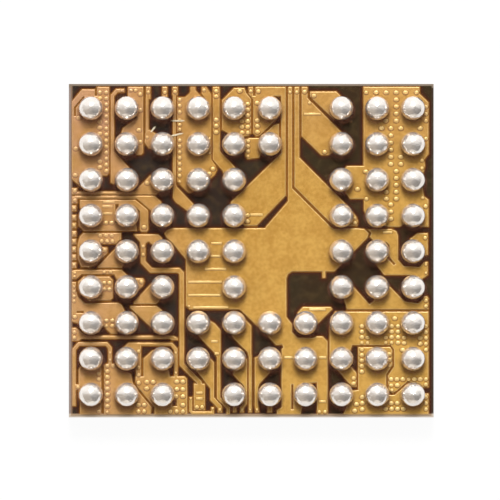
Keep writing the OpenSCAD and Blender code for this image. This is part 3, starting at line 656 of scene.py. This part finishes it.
top_film = merged_copy("top_polyimide", "top_film")
below = [v.index for v in top_film.data.vertices if v.co.z < face_top - LEVEL]
pick(top_film, points=below)
bpy.ops.transform.translate(value=(0, 0, LIFT))
bpy.ops.object.mode_set(mode="OBJECT")
top_film.data.materials.append(amber_film())
hand_over(top_film, "top_polyimide")
print("top film faces:", len(top_film.data.polygons))

# %% [markdown]
# Solder balls are remelted tin: bright, a little satin, with a skin that freezes in shallow dents. The
# dents could be pushed into the mesh, but then 78 balls would need very many faces. A bump of two sizes
# of noise breaks up the reflections just as well, and each ball gets its own pattern, because the noise
# runs through the chip and not round the ball. Each row is a merged copy of its solid, shaded smooth.
# The flat face on which a ball sits also tells where it is, for the next step.

# %% Solder balls
SOLDER_METAL = 0.78
DENT_DEPTH = 0.0105
BALL_SMOOTH = math.radians(40)
FOOT_CORNERS = 12


def solder():
    material, start, place = new_finish("solder")
    frost = grain(start, place, 0.02, RAGGED)
    skin = grain(start, place, 0.075)
    dents = grain(start, place, 0.035)
    colour = skin.step(*SOFT_SPAN).blend(rgb(243, 235, 227), rgb(252, 246, 239))
    normal = relief(start, skin * 0.65 + dents * 0.35, DENT_DEPTH)
    varying = {"Base Color": colour, "Roughness": frost * 0.1 + 0.14, "Normal": normal}
    set_surface(material, varying, {"Metallic": SOLDER_METAL})
    return material


def ball_feet(mesh):
    """Centre of each ball of a row, from the flat face on which it sits."""
    flats = [f for f in mesh.polygons if f.normal.z < -LEVEL_FACE and len(f.vertices) > FOOT_CORNERS]
    return [f.center.copy() for f in flats]


ball_skin = solder()
ball_places = []
for row in ball_rows:
    piece = merged_copy(row, row + "_solder")
    ball_places.extend(ball_feet(piece.data))
    piece.data.materials.append(ball_skin)
    only(piece)
    bpy.ops.object.shade_smooth_by_angle(angle=BALL_SMOOTH)
    hand_over(piece, row)
print("rows of balls:", len(ball_rows), "balls:", len(ball_places))

# %% [markdown]
# Round each ball's foot, a little towards the near side, the chip gets a thin red-brown ring: painted
# shade from the ball, added to its real shadow. It could be painted into the film's finish, but a ring of
# its own is easier to place. It is modelled once: a disc, inset and opened in the middle, made solid, and
# copied to every ball. Its points know whether they are at the foot or at the outer edge, and the shade
# fades between.

# %% Rings of painted shade round the balls
SHADE_RING_SIDES = 28
SHADE_RING_R = 0.18
SHADE_RING_FOOT_R = 0.085
SHADE_RUN = 0.035
SKIN_T = 0.0006


def flux_stain():
    material, start, place = new_finish("flux_stain")
    fade = start.node("ShaderNodeAttribute", {"attribute_name": "at_foot"}, None, "Fac")
    blotch = grain(start, place, 0.06, RAGGED)
    # The red-brown is painted shade under and round each ball.
    colour = blotch.step(*SOFT_SPAN).blend(rgb(140, 80, 54), rgb(164, 106, 78))
    alpha = fade.step(0.0, 1.0) * (blotch * 0.4 + 0.15)
    set_surface(material, {"Base Color": colour, "Roughness": blotch * 0.2 + 0.4, "Alpha": alpha})
    return material


def make_solid(piece):
    """Gives a flat piece its small thickness, upwards."""
    only(piece)
    solid = piece.modifiers.new("solid", "SOLIDIFY")
    solid.thickness = SKIN_T
    solid.offset = 1
    bpy.ops.object.modifier_apply(modifier=solid.name)


def painted_shade_ring():
    bpy.ops.object.select_all(action="DESELECT")
    bpy.ops.mesh.primitive_circle_add(vertices=SHADE_RING_SIDES, radius=SHADE_RING_R, fill_type="NGON")
    ring = bpy.context.active_object
    pick(ring, faces=[0])
    bpy.ops.mesh.inset(thickness=SHADE_RING_R - SHADE_RING_FOOT_R)
    bpy.ops.mesh.delete(type="FACE")
    bpy.ops.object.mode_set(mode="OBJECT")
    make_solid(ring)
    middle = (SHADE_RING_R + SHADE_RING_FOOT_R) / 2
    at_foot = [float(v.co.to_2d().length < middle) for v in ring.data.vertices]
    ring.data.attributes.new("at_foot", "FLOAT", "POINT").data.foreach_set("value", at_foot)
    ring.data.materials.append(flux_stain())
    return ring


first_ring = painted_shade_ring()
rings = []
for foot in ball_places:
    ring = own_copy(first_ring, "flux_rings")
    # Each ring is set towards the near side, away from the sun, where the painted shade falls.
    ring.data.transform(Matrix.Translation((foot.x, foot.y - SHADE_RUN, face_top + SEAT)))
    rings.append(ring)
bpy.data.objects.remove(first_ring)
ball_shades = join(rings)
make_small(ball_shades)
print(ball_shades.name, "of", len(ball_places), "balls, faces:", len(ball_shades.data.polygons))

# %% [markdown]
# The film is soft, and handling has left three pale scratches in it. A groove cut into the film would
# be too fine to catch the light. What shows is the whitened film, so a scratch is a flat strip that is
# subdivided, pinched at both ends and made solid, then turned and laid on the film.

# %% Scratches in the top film
SCRATCHES = (
    ((-1.126, 1.321), (-1.07, 1.39)),
    ((-0.9, 1.452), (-0.74, 1.452)),
    ((-0.908, 1.279), (-0.755, 1.315)),
)
SCRATCH_W = 0.018
SCRATCH_CUTS = 4
END_SHARE = 0.45
PINCH = 0.15


def pale_scratch():
    material, start, place = new_finish("pale_scratch")
    blotch = grain(start, place, 0.03, RAGGED)
    colour = blotch.step(*SOFT_SPAN).blend(rgb(226, 206, 160), rgb(250, 240, 214))
    varying = {"Base Color": colour, "Roughness": blotch * 0.2 + 0.5, "Alpha": blotch * 0.5 + 0.4}
    set_surface(material, varying)
    return material


def scratch(first, last):
    length = math.dist(first, last)
    bpy.ops.object.select_all(action="DESELECT")
    bpy.ops.mesh.primitive_plane_add(size=1)
    strip = bpy.context.active_object
    strip.data.transform(Matrix.Diagonal((length, SCRATCH_W, 1, 1)))
    pick(strip, faces=[0])
    bpy.ops.mesh.subdivide(number_cuts=SCRATCH_CUTS)
    bpy.ops.object.mode_set(mode="OBJECT")
    ends = [v.index for v in strip.data.vertices if abs(v.co.x) > length * END_SHARE]
    pick(strip, points=ends)
    bpy.ops.transform.resize(value=(1, PINCH, 1))
    bpy.ops.object.mode_set(mode="OBJECT")
    make_solid(strip)
    turn = Matrix.Rotation(math.atan2(last[1] - first[1], last[0] - first[0]), 4, "Z")
    middle = ((first[0] + last[0]) / 2, (first[1] + last[1]) / 2, face_top + SEAT)
    strip.data.transform(Matrix.Translation(middle) @ turn)
    return strip


scratches = join([scratch(*ends) for ends in SCRATCHES])
scratches.name = "film_scratches"
scratches.data.materials.append(pale_scratch())
make_small(scratches)
print("scratches:", len(SCRATCHES), "faces:", len(scratches.data.polygons))

# %% [markdown]
# The die's solid is already right, and only needs a finish. A saw has cut its four walls and left fine
# level lines, which come from noise that is stretched sideways. The narrow street round the film is
# silicon seen from above. Its colour is painted light and shade, different on each side of the chip:
# pale on the near side, dark on the right. Four strips of colour could be modelled, but the place on the
# chip already tells which side it is.

# %% Finish of the die
STREET_Y = 1.83 * MM
STREET_BLEND = 0.02 * MM
STREET_Z = ((die_top - 0.003) * MM, (die_top - 0.001) * MM)
SAW_STRETCH = (0.06, 0.06, 1)
SAW_DEPTH = 0.001


def sawn_silicon():
    material, start, place = new_finish("sawn_silicon")
    x = place.along("X")
    y = place.along("Y")
    stretched = start.node("ShaderNodeMapping", None, {"Vector": place, "Scale": SAW_STRETCH})
    lines = grain(start, stretched, 0.01)
    clouds = grain(start, place, 0.2)
    wall = (lines * 0.6 + clouds * 0.4).step(*SOFT_SPAN).blend(rgb(70, 66, 64), rgb(112, 106, 102))
    # The street's painted light and shade: paler to the left and the near side, darker to the right and
    # the far side.
    painted_side_light = x.step(*ACROSS).blend(rgb(150, 134, 126), rgb(62, 45, 29))
    ends = y.step(*ACROSS).blend(rgb(204, 190, 174), rgb(138, 122, 104))
    at_end = (y * y).step((STREET_Y - STREET_BLEND) ** 2, STREET_Y ** 2)
    colour = place.along("Z").step(*STREET_Z).blend(wall, at_end.blend(painted_side_light, ends))
    normal = relief(start, lines, SAW_DEPTH)
    varying = {"Base Color": colour, "Roughness": lines * 0.3 + 0.25, "Normal": normal}
    set_surface(material, varying, {"Metallic": 0.3})
    return material


def refinish(node, finish):
    """Gives a CAD node that keeps its own solid a new finish."""
    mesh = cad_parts[node].data
    mesh.materials.clear()
    mesh.materials.append(finish)


refinish("silicon_die", sawn_silicon())

# %% [markdown]
# Two more solids keep their shape. The coating on the back of the die is a matt black resin filled with
# pale specks, and the bump metal under the balls is plain and bright. Both are hardly seen, so simple
# finishes do.

# %% Finishes of the back coating and the bump metal
SPECK_SPAN = (0.62, 0.74)
SPECK_DEPTH = 0.002


def black_resin():
    material, start, place = new_finish("black_resin")
    specks = grain(start, place, 0.012, detail=1.0)
    clouds = grain(start, place, 0.4)
    colour = specks.step(*SPECK_SPAN).blend(rgb(30, 30, 32), rgb(78, 78, 80))
    normal = relief(start, specks, SPECK_DEPTH)
    set_surface(material, {"Base Color": colour, "Roughness": clouds * 0.3 + 0.5, "Normal": normal})
    return material


def bump_metal():
    material, start, place = new_finish("bump_metal")
    fine = grain(start, place, 0.01)
    colour = fine.step(*SOFT_SPAN).blend(rgb(176, 172, 164), rgb(200, 196, 188))
    set_surface(material, {"Base Color": colour, "Roughness": fine * 0.2 + 0.25}, {"Metallic": 1.0})
    return material


refinish("back_coating", black_resin())
refinish("bump_pads", bump_metal())
print("finishes so far:", len(bpy.data.materials))

# %% [markdown]
# The chip lies on a white table. More light would make the table white, but would bleach the chip too.
# So the floor takes the chip's shadow as any matt surface does, and adds a glow of its own that only the
# camera and shiny things see.

# %% Floor
FLOOR_SIZE = 400
FLOOR_DROP = 0.001
FLOOR_GREY = (0.06, 0.06, 0.06, 1)
FLOOR_GLOW = 0.95
WHITE = (1, 1, 1, 1)


def white_table():
    material, start = new_finish("white_table")[:2]
    tree = material.node_tree
    matt = start.node("ShaderNodeBsdfDiffuse", None, {"Color": FLOOR_GREY})
    glow = start.node("ShaderNodeEmission", None, {"Color": WHITE, "Strength": FLOOR_GLOW})
    bright = start.node("ShaderNodeAddShader", None, {0: matt, 1: glow})
    seen = start.ray("Is Camera Ray") + start.ray("Is Glossy Ray") + start.ray("Is Transmission Ray")
    both = start.node("ShaderNodeMixShader", None, {0: seen, 1: matt, 2: bright})
    tree.links.new(both.socket, tree.nodes["Material Output"].inputs["Surface"])
    return material


bpy.ops.object.select_all(action="DESELECT")
bpy.ops.mesh.primitive_plane_add(size=FLOOR_SIZE * MM, location=(0, 0, -FLOOR_DROP * MM))
table = bpy.context.active_object
table.name = "table"
table.data.materials.append(white_table())
print("table:", FLOOR_SIZE, "mm wide")

# %% [markdown]
# A solder ball is a tiny mirror, so it shows how the real chip was lit: white from straight overhead to
# the far side, a grey band on the near side that is darker on the right, and light again low on the near
# side. Lamps could be set up like that, but the balls would show their edges. So the world is painted
# with soft steps along the direction's own coordinates, and one broad sun on the far side casts the
# shadows.

# %% Light
LEFT_BAND = (0.37, 0.32, 0.265, 1)
RIGHT_BAND = (0.15, 0.14, 0.135, 1)
NEAR_GLOW = (1, 0.94, 0.86, 1)
BAND_SIDES = (-0.7, 0.5)
BAND_RISE = (-0.4, 0.75)
BAND_FALL = (-1.0, -0.75)
SUN = 2.65
SUN_HEIGHT = 52
SUN_SPREAD = 20


def studio_sky():
    world = bpy.data.worlds.new("studio")
    bpy.context.scene.world = world
    world.use_nodes = True
    tree = world.node_tree
    start = Wire(tree)
    direction = start.node("ShaderNodeTexCoord", out="Generated")
    away = direction.along("Y")
    band = direction.along("X").step(*BAND_SIDES).blend(LEFT_BAND, RIGHT_BAND)
    sky = away.step(*BAND_FALL).blend(NEAR_GLOW, away.step(*BAND_RISE).blend(band, WHITE))
    lit = start.node("ShaderNodeBackground", None, {"Color": sky, "Strength": 1})
    white = start.node("ShaderNodeBackground", None, {"Color": WHITE, "Strength": 1})
    shown = start.node("ShaderNodeMixShader", None, {0: start.ray("Is Camera Ray"), 1: lit, 2: white})
    tree.links.new(shown.socket, tree.nodes["World Output"].inputs["Surface"])


def soft_sun():
    sun_data = bpy.data.lights.new("sun", "SUN")
    sun_data.energy = SUN
    sun_data.angle = math.radians(SUN_SPREAD)
    sun = bpy.data.objects.new("sun", sun_data)
    sun.rotation_euler = (math.radians(SUN_HEIGHT - 90), 0, 0)
    bpy.context.scene.collection.objects.link(sun)


studio_sky()
soft_sun()
print("sun", SUN, "at", SUN_HEIGHT, "degrees")

# %% [markdown]
